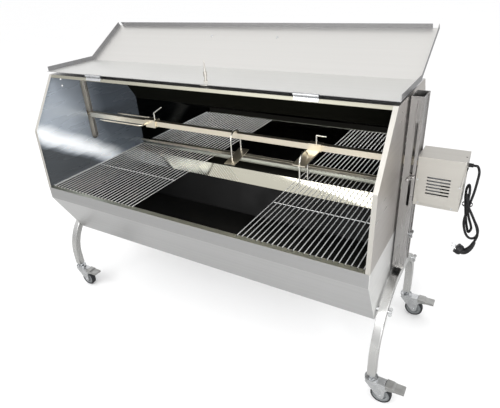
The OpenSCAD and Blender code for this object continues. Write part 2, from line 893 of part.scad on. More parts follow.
// Plate hung under the spit, and the saddle that the U-bolt pulls down on the spit
module brace_inner() {
    plate_x = [74, 122];
    color(steel) {
        difference() {
            along_x(plate_x[0], plate_x[1]) folded(inner_plate, 3);
            for (side = [-1, 1])
                translate([inner_x, inner_u_y + side * inner_u_r, 700]) cylinder(r = 3.6, h = 100);
        }
        saddle_z = spit_z + spit_bar_side / 2 + slide_fit;
        block([inner_x - 10, -14, saddle_z], [inner_x + 10, 2, saddle_z + 3]);
        block([inner_x - 10, inner_u_y - 3, saddle_z],
              [inner_x + 10, inner_u_y + 3, inner_u_top - 2 * u_rod_r - 0.2]);
    }
}

module brace_inner_ubolt() {
    color(steel) translate([inner_x, 0, 0])
        u_bolt(inner_u_y, inner_u_top, inner_u_r, 738, [745.5, 759.8]);
}

outer_x = 429;
outer_u_y = -94;
outer_u_r = 34;
outer_sleeve = [408, 461];
outer_screw_x = 437;

// Sleeve on the spit with a plate welded under it that reaches to the front
module brace_outer() {
    plate_x = [405, 453];
    plate = [[-135, 820.5], [8, 831]];
    side = spit_bar_side + 5;
    color(steel) {
        translate([0, 0, spit_z]) sleeve(outer_sleeve[0], outer_sleeve[1], side, outer_screw_x);
        difference() {
            along_x(plate_x[0], plate_x[1]) folded(plate, 4);
            translate([0, 0, spit_z]) square_bar(side - 1, plate_x[0] - 1, plate_x[1] + 1);
            for (y = [-1, 1])
                translate([outer_x, outer_u_y + y * outer_u_r, 780]) cylinder(r = 3.6, h = 100);
        }
    }
}

module brace_outer_ubolt() {
    color(steel) translate([outer_x, 0, 0])
        u_bolt(outer_u_y, 862, outer_u_r, 741, [815.2, 820.2]);
}

module brace_outer_thumbscrew() {
    color(steel) translate([outer_screw_x, 0, spit_z]) bent_screw(42, 36, 0);
}

// ---- castors -----------------------------------------------------------------------------

// Places a part that is drawn at a swivel axis under one leg
module at_foot(side, rear) {
    translate([side * stem_x, rear * stem_y, 0]) children();
}

wheel_r = wheel_d / 2;
cheek_y = [14, 16.5];
head_low = 95;
pin_r = 2.5;

// Stem, nut, raceway dish and two cheeks that hold the axle and the pedal's pin
module castor_fork(side, rear) {
    head_high = leg_foot_z - 1;
    dish_top = head_low + 9;
    boss_top = head_low + 13;
    color(steel) at_foot(side, rear) {
        rotate_extrude()
            polygon([[0, head_low], [24, head_low], [24, dish_top], [22, dish_top],
                     [20, head_low + 4], [13, head_low + 4], [12, boss_top], [0, boss_top]]);
        translate([0, 0, boss_top - 1]) cylinder(r = 10.5, h = head_high - boss_top + 1, $fn = 6);
        translate([0, 0, head_high - 1]) cylinder(r = stem_r, h = 28);
        block([-17, -cheek_y[1], head_low - 1], [pedal_pivot[0] - 10, cheek_y[1], head_low + 2]);
        for (y = [-cheek_y[1], cheek_y[0]])
            translate([0, y, 0]) cheek(cheek_y[1] - cheek_y[0]);
        translate([castor_trail, 0, wheel_r]) cylinder_y(axle_r, -cheek_y[1] - 3, cheek_y[1] + 3);
        translate([pedal_pivot[0], 0, pedal_pivot[1]]) cylinder_y(pin_r, -20, 20);
    }
}

// One cheek of the fork, from y = 0 towards +Y
module cheek(thick) {
    foot_r = 13;
    ear_r = 8;
    translate([0, thick, 0]) rotate([90, 0, 0]) linear_extrude(thick) {
        polygon([[-17, head_low + 1], [-20, head_low - 8], [castor_trail - 12, wheel_r - 5],
                 [castor_trail + 13, wheel_r], [castor_trail + 15, wheel_r + 30],
                 [pedal_pivot[0] + 5, pedal_pivot[1] - 6], [pedal_pivot[0] - 4, pedal_pivot[1] + 7],
                 [pedal_pivot[0] - 10, head_low + 1]]);
        translate([castor_trail, wheel_r]) circle(foot_r);
        translate(pedal_pivot) circle(ear_r);
    }
}

module castor_fork_front_left() { castor_fork(-1, -1); }
module castor_fork_front_right() { castor_fork(1, -1); }
module castor_fork_rear_left() { castor_fork(-1, 1); }
module castor_fork_rear_right() { castor_fork(1, 1); }

// Wheel with a rounded tyre, turned about its axle
module castor_wheel(side, rear) {
    half_w = wheel_w / 2;
    round_r = 5;
    hub_r = 11;
    rim_r = wheel_r - 9;
    web = 4;
    color(black) at_foot(side, rear)
        translate([castor_trail, 0, wheel_r]) rotate([90, 0, 0]) rotate_extrude($fn = 96) {
            translate([axle_r + fit, -half_w]) square([hub_r - axle_r - fit, wheel_w]);
            translate([hub_r - 1, -web]) square([rim_r - hub_r + 2, 2 * web]);
            translate([rim_r, -half_w + round_r]) square([wheel_r - rim_r, wheel_w - 2 * round_r]);
            translate([rim_r, -half_w]) square([wheel_r - rim_r - round_r, wheel_w]);
            for (y = [-1, 1])
                translate([wheel_r - round_r, y * (half_w - round_r)]) circle(round_r);
        }
}

module castor_wheel_front_left() { castor_wheel(-1, -1); }
module castor_wheel_front_right() { castor_wheel(1, -1); }
module castor_wheel_rear_left() { castor_wheel(-1, 1); }
module castor_wheel_rear_right() { castor_wheel(1, 1); }

// Brake pedal, a folded channel on the fork's cross pin, up at rest
module castor_pedal(side, rear) {
    half_w = 19;
    wall = 2;
    tip = 120;
    top_z = 98.5;
    step_z = 94;
    rear_x = pedal_pivot[0] - 8;
    outside = [[rear_x, top_z], [80, top_z], [87, step_z], [tip, step_z], [tip, step_z - 9],
               [88, step_z - 10], [74, 80], [pedal_pivot[0], 78], [rear_x, 86]];
    inside = [[rear_x - 5, top_z - wall], [79, top_z - wall], [86, step_z - wall],
              [tip - wall, step_z - wall], [tip - wall, 70], [rear_x - 5, 70]];
    color(dark_steel) at_foot(side, rear) difference() {
        rotate([90, 0, 0]) translate([0, 0, -half_w]) linear_extrude(2 * half_w) polygon(outside);
        rotate([90, 0, 0]) translate([0, 0, wall - half_w])
            linear_extrude(2 * (half_w - wall)) polygon(inside);
        translate([pedal_pivot[0], 0, pedal_pivot[1]])
            cylinder_y(pin_r + fit, -half_w - 1, half_w + 1);
    }
}

module castor_pedal_front_left() { castor_pedal(-1, -1); }
module castor_pedal_front_right() { castor_pedal(1, -1); }
module castor_pedal_rear_left() { castor_pedal(-1, 1); }
module castor_pedal_rear_right() { castor_pedal(1, 1); }

// ---- nodes -------------------------------------------------------------------------------

firebox_shell();
firebox_end_left();
firebox_end_right();
tray_rests();
hood_shell();
hood_side_left();
hood_side_right();
top_bar();
rear_rail();
column_left();
column_right();
column_bolts();
slide_lock_bolts();
leg_front_left();
leg_front_right();
leg_rear_left();
leg_rear_right();
leg_wing_bolts();
lid_hinge_leaves();
lid_hinge_pins();
lid_shell();
lid_hinge_flaps();
lid_handle();
lid_handle_screws();
thermometer();
charcoal_tray();
grill_left();
grill_right();
motor_slide();
motor_housing();
gear_motor();
motor_screws();
cable_gland();
power_cable();
power_plug();
power_switch();
bearing_slide();
spit_bearing();
drive_socket();
spit_bar();
meat_fork();
fork_thumbscrew();
brace_inner();
brace_inner_ubolt();
brace_outer();
brace_outer_ubolt();
brace_outer_thumbscrew();
castor_fork_front_left();
castor_fork_front_right();
castor_fork_rear_left();
castor_fork_rear_right();
castor_wheel_front_left();
castor_wheel_front_right();
castor_wheel_rear_left();
castor_wheel_rear_right();
castor_pedal_front_left();
castor_pedal_front_right();
castor_pedal_rear_left();
castor_pedal_rear_right();
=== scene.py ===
"""Looks of a rotisserie spit roaster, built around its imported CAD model.

Everything is in metres. +X runs along the spit to the motor, -Y is the open front, +Z is up.
"""

import math

import bmesh
import bpy
from mathutils import Matrix, Vector


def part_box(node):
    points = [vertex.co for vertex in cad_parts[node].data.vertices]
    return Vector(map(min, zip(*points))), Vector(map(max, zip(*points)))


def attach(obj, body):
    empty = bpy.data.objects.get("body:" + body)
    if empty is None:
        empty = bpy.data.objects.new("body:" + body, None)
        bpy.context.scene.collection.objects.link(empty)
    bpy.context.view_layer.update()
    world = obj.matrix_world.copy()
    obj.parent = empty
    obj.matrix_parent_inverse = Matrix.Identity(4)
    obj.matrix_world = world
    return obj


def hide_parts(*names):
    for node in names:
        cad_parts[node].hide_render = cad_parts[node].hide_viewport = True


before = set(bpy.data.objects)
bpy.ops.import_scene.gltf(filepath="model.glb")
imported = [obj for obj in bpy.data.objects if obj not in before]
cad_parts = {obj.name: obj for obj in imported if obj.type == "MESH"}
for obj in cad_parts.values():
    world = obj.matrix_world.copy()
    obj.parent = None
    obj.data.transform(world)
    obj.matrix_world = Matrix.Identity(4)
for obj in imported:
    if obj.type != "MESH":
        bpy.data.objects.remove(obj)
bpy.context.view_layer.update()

MM = 0.001
X, Y, Z = 0, 1, 2
# Socket numbers of Blender's colour mix node
MIX_SHARE, MIX_A, MIX_B, MIX_RESULT = 0, 6, 7, 2
CORNERS = [f"{a}_{b}" for a in ("front", "rear") for b in ("left", "right")]


# ---- material building blocks --------------------------------------------------------------


class Paint:
    """One node material under construction"""

    def __init__(self, name, colour, metallic, roughness):
        self.material = bpy.data.materials.new(name)
        self.material.use_nodes = True
        self.tree = self.material.node_tree
        self.shader = self.tree.nodes["Principled BSDF"]
        self.set("Base Color", (*colour, 1))
        self.set("Metallic", metallic)
        self.set("Roughness", roughness)

    def set(self, socket, value):
        if hasattr(value, "is_output"):
            self.tree.links.new(value, self.shader.inputs[socket])
        else:
            self.shader.inputs[socket].default_value = value

    def node(self, kind, inputs=None, **settings):
        made = self.tree.nodes.new(kind)
        for key, value in settings.items():
            setattr(made, key, value)
        for key, value in (inputs or {}).items():
            if hasattr(value, "is_output"):
                self.tree.links.new(value, made.inputs[key])
            else:
                made.inputs[key].default_value = value
        return made

    def place(self, stretch=(1, 1, 1)):
        """Object coordinates, stretched"""
        where = self.node("ShaderNodeTexCoord").outputs["Object"]
        mapping = self.node("ShaderNodeMapping", {"Vector": where, "Scale": stretch})
        return mapping.outputs["Vector"]

    def axes(self):
        """Object coordinates as the outputs X, Y and Z"""
        where = self.node("ShaderNodeTexCoord").outputs["Object"]
        return self.node("ShaderNodeSeparateXYZ", {0: where}).outputs

    def noise(self, stretch, scale=1.0, detail=4.0, roughness=0.55):
        inputs = {"Vector": self.place(stretch), "Scale": scale}
        inputs.update({"Detail": detail, "Roughness": roughness})
        return self.node("ShaderNodeTexNoise", inputs).outputs["Fac"]

    def spread(self, value, low, high, start=0.0, end=1.0):
        """Maps value from start..end to low..high"""
        inputs = {"Value": value, "From Min": start, "From Max": end, "To Min": low, "To Max": high}
        return self.node("ShaderNodeMapRange", inputs).outputs["Result"]

    def maths(self, operation, a, b):
        return self.node("ShaderNodeMath", {0: a, 1: b}, operation=operation).outputs[0]

    def mix(self, share, a, b):
        """Colour between a and b"""
        made = self.node("ShaderNodeMix", data_type="RGBA")
        for index, value in ((MIX_SHARE, share), (MIX_A, a), (MIX_B, b)):
            if hasattr(value, "is_output"):
                self.tree.links.new(value, made.inputs[index])
            elif index == MIX_SHARE:
                made.inputs[index].default_value = value
            else:
                made.inputs[index].default_value = (*value, 1)
        return made.outputs[MIX_RESULT]

    def bump(self, height, strength, distance=MM):
        inputs = {"Height": height, "Strength": strength, "Distance": distance}
        self.set("Normal", self.node("ShaderNodeBump", inputs).outputs["Normal"])


def along(axis, coarse, fine):
    """Texture stretch that draws lines along one axis"""
    return tuple(coarse if k == axis else fine for k in range(3))


def steel(name, colour, roughness, axis, grain=0.3, streaks=0.03, tint=0.25, dent=0.02,
          metal=1.0):
    """Brushed steel whose grain runs along an axis, with faint streaks and shallow waves"""
    paint = Paint(name, colour, metal, roughness)
    fine = paint.noise(along(axis, 4, 900), detail=3)
    wide = paint.noise(along(axis, 0.8, 70), detail=5)
    blotch = paint.noise((1, 1, 1), scale=3.2, detail=3)
    wipe = paint.maths("ADD", paint.spread(blotch, -streaks, streaks, 0.3, 0.7), roughness)
    rough = paint.maths("ADD", wipe, paint.spread(wide, -streaks, streaks, 0.3, 0.7))
    paint.set("Roughness", paint.maths("MAXIMUM", rough, 0.03))
    dark = tuple(c * 0.86 for c in colour)
    paint.set("Base Color", paint.mix(paint.spread(wide, 0, tint, 0.35, 0.75), colour, dark))
    wave = paint.noise((1, 1, 1), scale=2.1, detail=1)
    lines = paint.spread(fine, 0, grain * 0.02)
    paint.bump(paint.maths("ADD", lines, paint.spread(wave, 0, dent)), 0.6)
    return paint


def rear_mirror(name):
    """Polished rear wall: mirrors the grills low down; above a level and past a slant its colour is
    painted near-black, a painted shade
    """
    grey, dark = (0.5, 0.5, 0.49), (0.008, 0.008, 0.007)
    painted_shade_from = 0.809
    slope = 2.09
    slant_from = -1.985
    paint = steel(name, grey, 0.03, X, grain=0.02, streaks=0.01, tint=0.2, dent=0.004)
    axes = paint.axes()
    wipes = paint.spread(paint.noise(along(X, 2, 14), detail=3), -0.002, 0.002, 0.3, 0.7)
    level = paint.maths("ADD", axes["Z"], wipes)
    # Painted shade: near-black colour above the level and past the slant
    above = paint.spread(level, 0, 1, painted_shade_from, painted_shade_from + 0.004)
    slant = paint.maths("SUBTRACT", axes["X"], paint.maths("MULTIPLY", axes["Z"], slope))
    past = paint.spread(slant, 1, 0, slant_from, slant_from + 0.015)
    paint.set("Base Color", paint.mix(paint.maths("MAXIMUM", above, past), grey, dark))
    return paint


def plastic(name, colour, roughness, grain_scale=1800, depth=0.06):
    """Moulded plastic with a fine leather-like grain and slightly polished high spots"""
    paint = Paint(name, colour, 0.0, roughness)
    grain = paint.noise((1, 1, 1), scale=grain_scale, detail=2)
    worn = paint.noise((1, 1, 1), scale=22, detail=3)
    paint.set("Specular IOR Level", 0.3)
    light = tuple(min(1, c * 1.7 + 0.006) for c in colour)
    paint.set("Base Color", paint.mix(paint.spread(worn, 0, 0.6, 0.45, 0.75), colour, light))
    paint.set("Roughness", paint.spread(worn, roughness + 0.08, roughness - 0.08, 0.3, 0.7))
    paint.bump(grain, depth)
    return paint


def painted_shade_sheet(name):
    """Inner sheet with painted shade: painted near-black, barely any gloss, for the dark that the
    open front leaves inside
    """
    paint = Paint(name, (0.007, 0.007, 0.005), 0.0, 0.5)
    paint.set("Specular IOR Level", 0.06)
    sweep = paint.noise(along(X, 1, 60), detail=4)
    paint.set("Base Color", paint.mix(sweep, (0.005, 0.005, 0.0035), (0.011, 0.011, 0.008)))
    paint.set("Roughness", paint.spread(sweep, 0.4, 0.6))
    paint.bump(paint.noise(along(X, 4, 700), detail=2), 0.05)
    return paint


def painted_light_end_sheet(name):
    """Inner end sheet: blue-grey, with painted shade to the rear and at the foot, and a slanting
    band of painted reflection that glows by emission
    """
    light, shade, foot_shade_grey = (0.6, 0.67, 0.76), (0.13, 0.16, 0.2), (0.09, 0.1, 0.11)
    paint = Paint(name, light, 0.3, 0.2)
    axes = paint.axes()
    wipes = paint.noise((1, 2, 12), scale=1.8, detail=3)
    cloud = paint.spread(paint.noise((1, 1, 1.6), scale=3, detail=2), -0.03, 0.03, 0.3, 0.7)
    # Painted shade: darker towards the rear of the box
    rear_shade = paint.spread(paint.maths("ADD", axes["Y"], cloud), 0, 1, -0.14, 0.09)
    upper = paint.mix(rear_shade, light, shade)
    slanted = paint.maths("ADD", axes["Z"], paint.maths("MULTIPLY", axes["Y"], 0.62))
    height = paint.maths("ADD", slanted, paint.spread(wipes, -0.008, 0.008, 0.3, 0.7))
    # Painted shade at the foot; painted reflection in a slanting band, fading to the rear
    foot = paint.spread(height, 1, 0, 0.585, 0.625)
    rising = paint.spread(height, 0, 1, 0.6, 0.645)
    falling = paint.spread(height, 1, 0, 0.665, 0.72)
    fading = paint.spread(axes["Y"], 1, 0.25, -0.02, 0.16)
    painted_reflection = paint.maths("MULTIPLY", paint.maths("MULTIPLY", rising, falling), fading)
    base = paint.mix(foot, upper, foot_shade_grey)
    paint.set("Base Color", paint.mix(painted_reflection, base, (0.98, 0.99, 1.0)))
    # The painted reflection glows by emission, though no lamp is there
    paint.set("Emission Color", (0.9, 0.95, 1.0, 1))
    paint.set("Emission Strength", paint.spread(painted_reflection, 0.02, 0.5))
    paint.set("Roughness", paint.spread(wipes, 0.2, 0.34, 0.3, 0.7))
    paint.bump(wipes, 0.04)
    return paint


def enamel(name):
    """Heat resistant black enamel with a faint orange-peel surface and grey dust"""
    paint = Paint(name, (0.008, 0.008, 0.008), 0.0, 0.5)
    paint.set("Specular IOR Level", 0.1)
    peel = paint.noise((1, 1, 1), scale=260, detail=2)
    dust = paint.noise((1, 1, 1), scale=9, detail=6)
    share = paint.spread(dust, 0, 0.35, 0.5, 0.85)
    paint.set("Base Color", paint.mix(share, (0.006, 0.006, 0.006), (0.014, 0.013, 0.012)))
    paint.set("Roughness", paint.spread(dust, 0.34, 0.58, 0.35, 0.75))
    paint.bump(peel, 0.12)
    return paint


def zinc(name, colour=(0.62, 0.63, 0.64), roughness=0.24):
    """Bright zinc plating: small crystals and dull patches"""
    paint = Paint(name, colour, 1.0, roughness)
    cells = paint.node(
        "ShaderNodeTexVoronoi", {"Vector": paint.place(), "Scale": 420.0}
    ).outputs["Distance"]
    patch = paint.noise((1, 1, 1), scale=40, detail=4)
    dull = tuple(c * 0.72 for c in colour)
    paint.set("Base Color", paint.mix(paint.spread(patch, 0, 0.8, 0.4, 0.75), colour, dull))
    paint.set("Roughness", paint.spread(patch, roughness - 0.06, roughness + 0.16, 0.3, 0.7))
    paint.bump(cells, 0.05)
    return paint


def rubber(name, colour, roughness):
    """Soft rubber or PVC: matt, with scuffs"""
    paint = Paint(name, colour, 0.0, roughness)
    scuff = paint.noise((1, 1, 1), scale=90, detail=6)
    paint.set("Specular IOR Level", 0.25)
    grey = tuple(c * 1.8 + 0.006 for c in colour)
    paint.set("Base Color", paint.mix(paint.spread(scuff, 0, 0.6, 0.5, 0.8), colour, grey))
    paint.set("Roughness", paint.spread(scuff, roughness - 0.1, roughness + 0.12, 0.3, 0.7))
    paint.bump(scuff, 0.08)
    return paint


def bronze(name):
    """Sintered bronze with turning marks"""
    paint = Paint(name, (0.55, 0.38, 0.2), 1.0, 0.34)
    rings = paint.noise((900, 20, 20), detail=2)
    stain = paint.noise((1, 1, 1), scale=60, detail=4)
    share = paint.spread(stain, 0, 0.7, 0.4, 0.7)
    paint.set("Base Color", paint.mix(share, (0.58, 0.42, 0.23), (0.3, 0.19, 0.1)))
    paint.set("Roughness", paint.spread(stain, 0.26, 0.5, 0.3, 0.7))
    paint.bump(rings, 0.1)
    return paint


LOOKS = {
    "outer_sheet": steel("outer_sheet", (0.56, 0.56, 0.56), 0.34, X),
    # Painted shade: the firebox's upright front gets a darker copy of the outer steel
    "front_strip": steel("front_strip", (0.45, 0.45, 0.45), 0.34, X),
    # Painted light: the firebox's slope facing down and forward gets a lighter copy of the outer
    # steel
    "front_slope": steel("front_slope", (0.61, 0.61, 0.61), 0.34, X),
    "sill": steel("sill", (0.6, 0.61, 0.53), 0.4, X),
    "end_sheet": steel("end_sheet", (0.58, 0.55, 0.52), 0.32, Y),
    # Painted light: the firebox ends' outer faces get a lighter copy of the steel
    "fire_end": steel("fire_end", (0.8, 0.8, 0.79), 0.42, Y, metal=0.8),
    # Painted shade: the firebox ends' inner faces get a dark blue-grey copy of the steel
    "fire_end_inner": steel("fire_end_inner", (0.2, 0.22, 0.26), 0.3, Y),
    # Painted light: the front faces of the hood sides get their own ivory, part-diffuse copy of the
    # steel
    "post": steel("post", (0.5, 0.485, 0.45), 0.5, Z, metal=0.6),
    # Painted highlight: the top faces at the firebox rim are drawn white and non-metallic
    "ledge": steel("ledge", (0.95, 0.96, 0.97), 0.35, Y, metal=0.0),
    # Painted light: one face of the bearing slide gets a bright cream copy of the steel
    "slide": steel("slide", (0.9, 0.87, 0.78), 0.38, Z, metal=0.35),
    "painted_shade_inner": painted_shade_sheet("painted_shade_inner"),
    "rear_mirror": rear_mirror("rear_mirror"),
    "fire_slope": steel("fire_slope", (0.62, 0.6, 0.5), 0.04, X, grain=0.0, streaks=0.01,
                        tint=0.2, dent=0.004),
    "inner_end": painted_light_end_sheet("inner_end"),
    # Painted shade: the top bar's front under the open lid gets a dark copy of the steel
    "top_strip": steel("top_strip", (0.33, 0.32, 0.265), 0.38, X),
    # Painted light and shade: the lid's two inner panels get a lighter and a darker copy of the
    # steel, and its flanges a dark one
    "lid_first": steel("lid_first", (0.77, 0.77, 0.75), 0.42, X, grain=0.2, tint=0.1, dent=0.01),
    "lid_second": steel("lid_second", (0.69, 0.68, 0.66), 0.42, X, grain=0.2, tint=0.1,
                        dent=0.01),
    "lid_flange": steel("lid_flange", (0.33, 0.33, 0.34), 0.35, X),
    "column": steel("column", (0.37, 0.36, 0.355), 0.3, Z, streaks=0.08),
    "tube": steel("tube", (0.6, 0.6, 0.59), 0.28, Z),
    "wire": steel("wire", (0.93, 0.93, 0.92), 0.35, Y, metal=0.45),
    "spit": steel("spit", (0.86, 0.79, 0.65), 0.36, X),
    "rod": steel("rod", (0.78, 0.76, 0.7), 0.25, Z),
    "housing": steel("housing", (0.56, 0.54, 0.5), 0.35, X),
    "zinc": zinc("zinc"),
    "dark_zinc": zinc("dark_zinc", (0.42, 0.42, 0.41), 0.34),
    "enamel": enamel("enamel"),
    "plastic": plastic("plastic", (0.006, 0.006, 0.007), 0.45),
    "hub": plastic("hub", (0.2, 0.21, 0.215), 0.4, 900),
    "cable": rubber("cable", (0.004, 0.004, 0.005), 0.45),
    "tyre": rubber("tyre", (0.02, 0.021, 0.023), 0.55),
    "casting": zinc("casting", (0.33, 0.34, 0.36), 0.48),
    "bronze": bronze("bronze"),
}


# ---- dressing of the CAD nodes -------------------------------------------------------------


def smooth_group(angle):
    """Geometry nodes that shade smooth except across edges sharper than an angle"""
    group = bpy.data.node_groups.new("smooth_by_angle", "GeometryNodeTree")
    group.interface.new_socket("Mesh", in_out="INPUT", socket_type="NodeSocketGeometry")
    group.interface.new_socket("Mesh", in_out="OUTPUT", socket_type="NodeSocketGeometry")
    nodes, links = group.nodes, group.links
    source, result = nodes.new("NodeGroupInput"), nodes.new("NodeGroupOutput")
    every = nodes.new("GeometryNodeSetShadeSmooth")
    sharp = nodes.new("GeometryNodeSetShadeSmooth")
    sharp.domain = "EDGE"
    sharp.inputs["Shade Smooth"].default_value = False
    edge = nodes.new("GeometryNodeInputMeshEdgeAngle")
    compare = nodes.new("FunctionNodeCompare")
    compare.operation = "GREATER_THAN"
    compare.inputs["B"].default_value = math.radians(angle)
    links.new(source.outputs[0], every.inputs["Geometry"])
    links.new(every.outputs["Geometry"], sharp.inputs["Geometry"])
    links.new(edge.outputs["Unsigned Angle"], compare.inputs["A"])
    links.new(compare.outputs["Result"], sharp.inputs["Selection"])
    links.new(sharp.outputs["Geometry"], result.inputs[0])
    return group


SMOOTH = smooth_group(20)


def smooth(piece):
    """Smooth shading that keeps large faces flat"""
    piece.modifiers.new("smooth", "NODES").node_group = SMOOTH
    weighted = piece.modifiers.new("weighted", "WEIGHTED_NORMAL")
    weighted.keep_sharp = True


def soften(piece, width):
    """Rounds sharp edges by a modifier, so that they catch the light"""
    bevel = piece.modifiers.new("bevel", "BEVEL")
    bevel.width = width
    bevel.segments = 2
    bevel.limit_method = "ANGLE"
    bevel.angle_limit = math.radians(35)


def dress(node, look, width=0.4 * MM):
    """Gives a CAD node its material and soft edges"""
    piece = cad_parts[node]
    piece.data.materials.clear()
    piece.data.materials.append(LOOKS[look].material)
    weld = piece.modifiers.new("weld", "WELD")
    weld.merge_threshold = 0.005 * MM
    if width:
        soften(piece, width)
    smooth(piece)
    return piece


def line_faces(node, look, chosen):
    """Gives the faces of a CAD node that pass a test another material"""
    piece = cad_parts[node]
    piece.data.materials.append(LOOKS[look].material)
    index = len(piece.data.materials) - 1
    for face in piece.data.polygons:
        if chosen(face.center, face.normal):
            face.material_index = index


def faces_inward(centre, normal):
    """True on the inner faces of the cabinet's folded sheets"""
    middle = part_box("spit_bar")
    toward = Vector((0, -centre.y, (middle[0].z + middle[1].z) / 2 - centre.z))
    return abs(normal.x) < 0.5 and normal.dot(toward) > 0


def dress_cabinet():
    for node in ("firebox_shell", "hood_shell", "top_bar"):
        dress(node, "outer_sheet", 0.5 * MM)
    for side in ("left", "right"):
        dress(f"firebox_end_{side}", "fire_end", 0.5 * MM)
        dress(f"hood_side_{side}", "end_sheet", 0.5 * MM)
        dress(f"column_{side}", "column", 0.5 * MM)
    dress("rear_rail", "spit")
    dress("tray_rests", "enamel")
    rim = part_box("firebox_shell")[1].z

    def on_rim(centre, normal):
        return normal.z > 0.9 and centre.z > rim - 3 * MM

    # Inner faces of the hood and firebox: painted near-black shade
    line_faces("hood_shell", "painted_shade_inner", faces_inward)
    # Rear wall of the hood: a mirror, with painted shade above a level
    line_faces("hood_shell", "rear_mirror", lambda c, n: faces_inward(c, n) and n.y < -0.99)
    line_faces("firebox_shell", "painted_shade_inner", faces_inward)
    line_faces("firebox_shell", "fire_slope", lambda c, n: faces_inward(c, n) and c.y > 0.2)
    line_faces("firebox_shell", "sill", on_rim)
    line_faces("firebox_shell", "front_strip", lambda c, n: n.y < -0.99 and c.y < 0)
    line_faces("firebox_shell", "front_slope", lambda c, n: n.y < -0.5 and n.z < -0.3)
    line_faces("top_bar", "top_strip", lambda c, n: n.y < -0.3)
    for side, sign in (("left", 1), ("right", -1)):
        line_faces(f"hood_side_{side}", "post", lambda c, n: abs(n.x) < 0.5 and n.y < 0)
        line_faces(f"hood_side_{side}", "inner_end", lambda c, n, s=sign: n.x * s > 0.5)
        line_faces(f"firebox_end_{side}", "fire_end_inner", lambda c, n, s=sign: n.x * s > 0.5)
        line_faces(f"firebox_end_{side}", "ledge", on_rim)


def dress_rest():
    looks = {
        "zinc": ["column_bolts", "slide_lock_bolts", "leg_wing_bolts", "lid_hinge_leaves",
                 "lid_hinge_pins", "lid_hinge_flaps", "lid_handle_screws", "motor_screws"],
        "column": ["motor_slide", "bearing_slide"],
        "wire": ["grill_left", "grill_right"],
        "spit": ["spit_bar", "drive_socket", "meat_fork", "brace_inner", "brace_outer"],
        "rod": ["fork_thumbscrew", "brace_inner_ubolt", "brace_outer_ubolt",
                "brace_outer_thumbscrew"],
        "housing": ["motor_housing", "thermometer"],
        "casting": ["gear_motor"],
        "plastic": ["cable_gland", "power_switch", "lid_handle"],
        "enamel": ["charcoal_tray"],
        "bronze": ["spit_bearing"],
    }
    for look, nodes in looks.items():
        for node in nodes:
            dress(node, look, 0 if look == "wire" else 0.3 * MM)
    for corner in CORNERS:
        dress(f"leg_{corner}", "tube", 2 * MM)
        dress(f"castor_fork_{corner}", "zinc", 0.5 * MM)
        dress(f"castor_pedal_{corner}", "dark_zinc", 0.5 * MM)
    dress("lid_shell", "outer_sheet", 0.5 * MM)


def line_rest():
    """Second materials: the lid's inside in painted light and shade, the housing's inside in painted
    near-black shade, one slide's face painted light, and the grills' ends
    """
    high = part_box("lid_shell")[1]
    line_faces("lid_shell", "lid_first", lambda c, n: n.z > 0.95)
    line_faces("lid_shell", "lid_second", lambda c, n: 0.3 < n.z < 0.95)
    line_faces("lid_shell", "lid_flange", lambda c, n: abs(n.x) > 0.5 or c.y > high.y - 12 * MM)
    line_faces("bearing_slide", "slide", lambda c, n: n.x > 0.5)
    for side in ("left", "right"):
        line_faces(f"grill_{side}", "enamel", lambda c, n: abs(c.y) > 0.28 and abs(n.x) < 0.1)
    low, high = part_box("motor_housing")
    middle = (low + high) / 2
    reach = (high - low) / 2 - Vector((MM, MM, MM))

    def inside(centre, normal):
        offset = centre - middle
        return normal.dot(offset) < 0 and all(abs(offset[k]) < reach[k] for k in range(3))

    # Inside of the motor housing: painted near-black shade
    line_faces("motor_housing", "painted_shade_inner", inside)


# ---- new pieces ----------------------------------------------------------------------------


def piece_from(name, points, faces, look, body):
    """New mesh piece that rides on a body"""
    mesh = bpy.data.meshes.new(name)
    mesh.from_pydata([tuple(p) for p in points], [], faces)
    mesh.validate()
    made = bmesh.new()
    made.from_mesh(mesh)
    bmesh.ops.recalc_face_normals(made, faces=made.faces)
    made.to_mesh(mesh)
    made.free()
    mesh.materials.append(LOOKS[look].material)
    piece = bpy.data.objects.new(name, mesh)
    bpy.context.scene.collection.objects.link(piece)
    smooth(piece)
    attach(piece, body)
    return piece


def ring_faces(rings, sides, closed=False):
    """Quads between successive rings of points, with end caps unless the rings close"""
    faces = []
    for i in range(rings if closed else rings - 1):
        for k in range(sides):
            j = (i + 1) % rings
            m = (k + 1) % sides
            faces.append((i * sides + k, i * sides + m, j * sides + m, j * sides + k))
    if not closed:
        faces.append(tuple(range(sides)))
        faces.append(tuple((rings - 1) * sides + k for k in range(sides)))
    return faces


def lathe(name, profile, centre, look, body, sides=64):
    """Turns a closed profile of (radius, distance along Y) about an axis along Y"""
    points = []
    for k in range(sides):
        a = 2 * math.pi * k / sides
        points += [centre + Vector((r * math.cos(a), y, r * math.sin(a))) for r, y in profile]
    return piece_from(name, points, ring_faces(sides, len(profile), True), look, body)


def smooth_path(way, steps):
    """Catmull-Rom curve through way points"""
    points = []
    last = len(way) - 1
    for i in range(last):
        a, b, c, d = way[max(i - 1, 0)], way[i], way[i + 1], way[min(i + 2, last)]
        for k in range(steps):
            t = k / steps
            bend = 2 * a - 5 * b + 4 * c - d + t * (3 * (b - c) + d - a)
            points.append(b + 0.5 * t * (c - a + t * bend))
    return points + [way[last]]


def tube(name, points, radius, look, body, sides=20):
    """Round tube along a path; radius is a number or a function of the share along it"""
    last = len(points) - 1
    rings = []
    side = None
    for i, point in enumerate(points):
        axis = (points[min(i + 1, last)] - points[max(i - 1, 0)]).normalized()
        start = side if side else axis.orthogonal()
        side = (start - axis * start.dot(axis)).normalized()
        other = axis.cross(side)
        r = radius(i / last) if callable(radius) else radius
        for k in range(sides):
            a = 2 * math.pi * k / sides
            rings.append(point + r * (math.cos(a) * side + math.sin(a) * other))
    return piece_from(name, rings, ring_faces(len(points), sides), look, body)


def arc_points(centre, radius, start, end, steps):
    """Points (radius, along) on an arc, angles in degrees"""
    made = []
    for k in range(steps + 1):
        a = math.radians(start + (end - start) * k / steps)
        made.append((centre[0] + radius * math.cos(a), centre[1] + radius * math.sin(a)))
    return made


